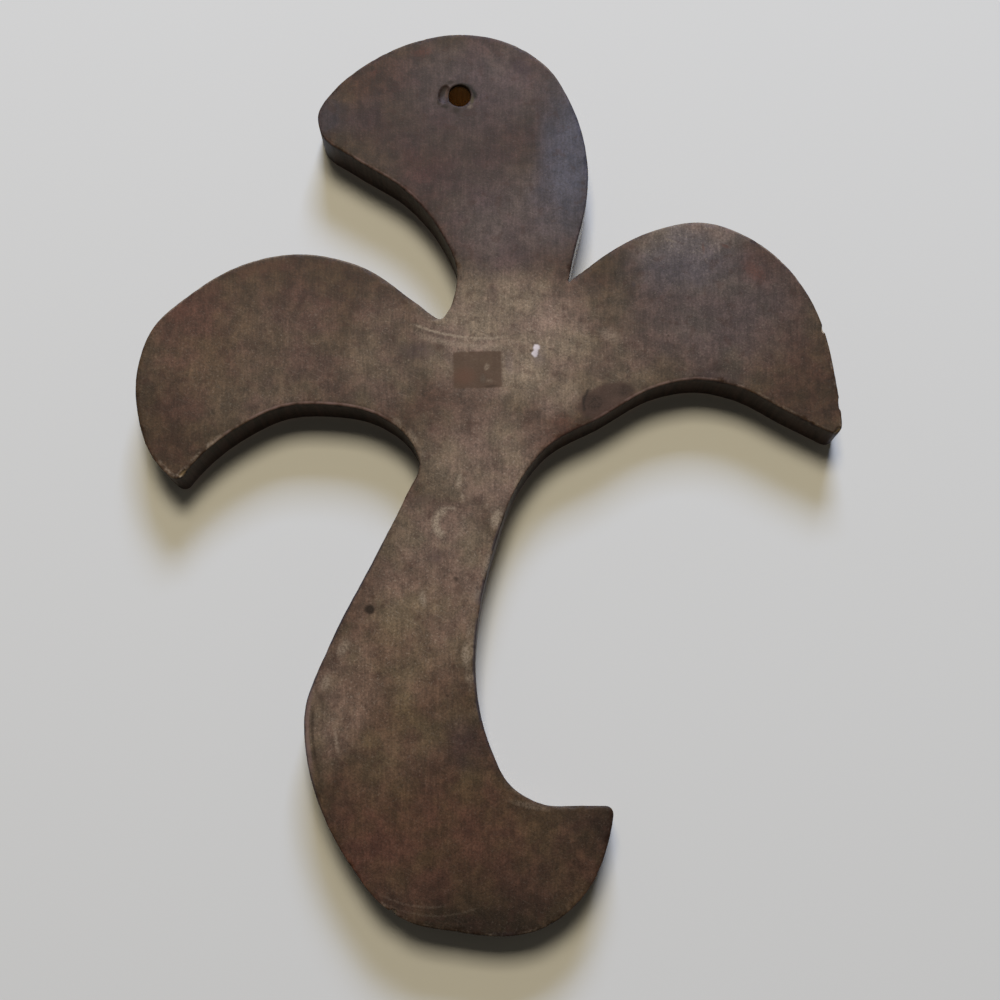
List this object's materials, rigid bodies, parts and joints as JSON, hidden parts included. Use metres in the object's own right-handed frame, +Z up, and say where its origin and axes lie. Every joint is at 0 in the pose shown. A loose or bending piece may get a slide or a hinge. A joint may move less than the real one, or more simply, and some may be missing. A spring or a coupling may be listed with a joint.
{
  "type": "wooden wall cross",
  "caption": "Dark-stained wooden wall cross sawn from a thick board, with curling lobes, a hooked foot and a hanging hole through its top lobe.",
  "frame": {"origin": "middle of the hanging hole in the top lobe, on the wall plane that the back lies on", "axes": "+Z up as the cross hangs, +Y into the wall, so the show face looks along -Y; +X is to the right as the show face is seen"},
  "size_m": [0.2281, 0.018, 0.295],
  "materials": {
    "stained_wood": "dark brown stain, satin, worn and dusty"
  },
  "bodies": {
    "root": {"cross_board": "stained_wood"}
  },
  "joints": []
}
